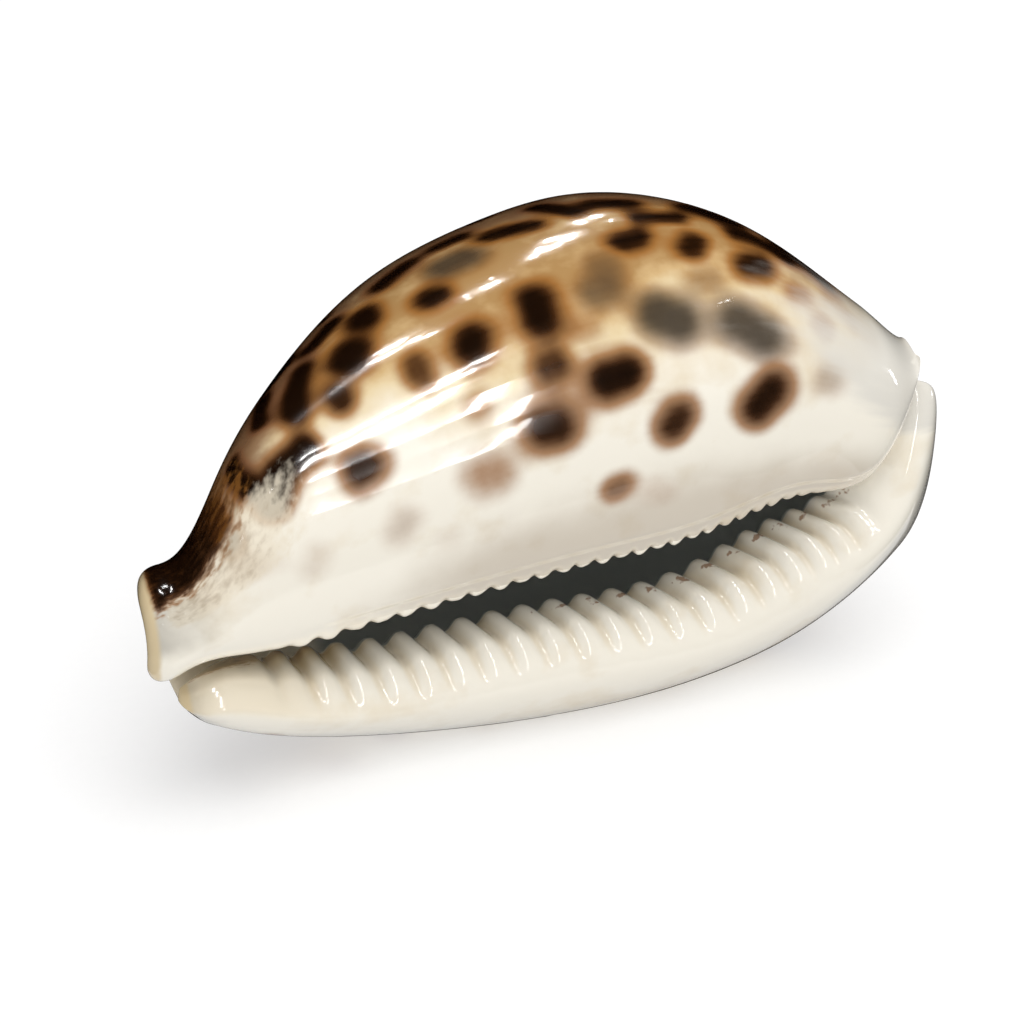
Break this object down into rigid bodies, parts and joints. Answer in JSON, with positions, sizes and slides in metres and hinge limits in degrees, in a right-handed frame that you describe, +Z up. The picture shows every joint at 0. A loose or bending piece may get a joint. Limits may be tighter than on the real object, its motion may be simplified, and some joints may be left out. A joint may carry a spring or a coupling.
{
  "type": "tiger cowrie shell",
  "caption": "Domed, hollow cowrie shell with a long toothed slot along its base, resting on a small flat on the margin of its outer lip.",
  "frame": {"origin": "bottom centre of the shell's box, on the surface it rests on", "axes": "+X from the anterior spout towards the posterior end, +Y from the base with the slot towards the crown of the back, +Z up, from the outer lip towards the columellar side"},
  "size_m": [0.0896, 0.047, 0.0534],
  "materials": {
    "shell_enamel": "gloss"
  },
  "bodies": {
    "root": {"shell": "shell_enamel"}
  },
  "joints": []
}
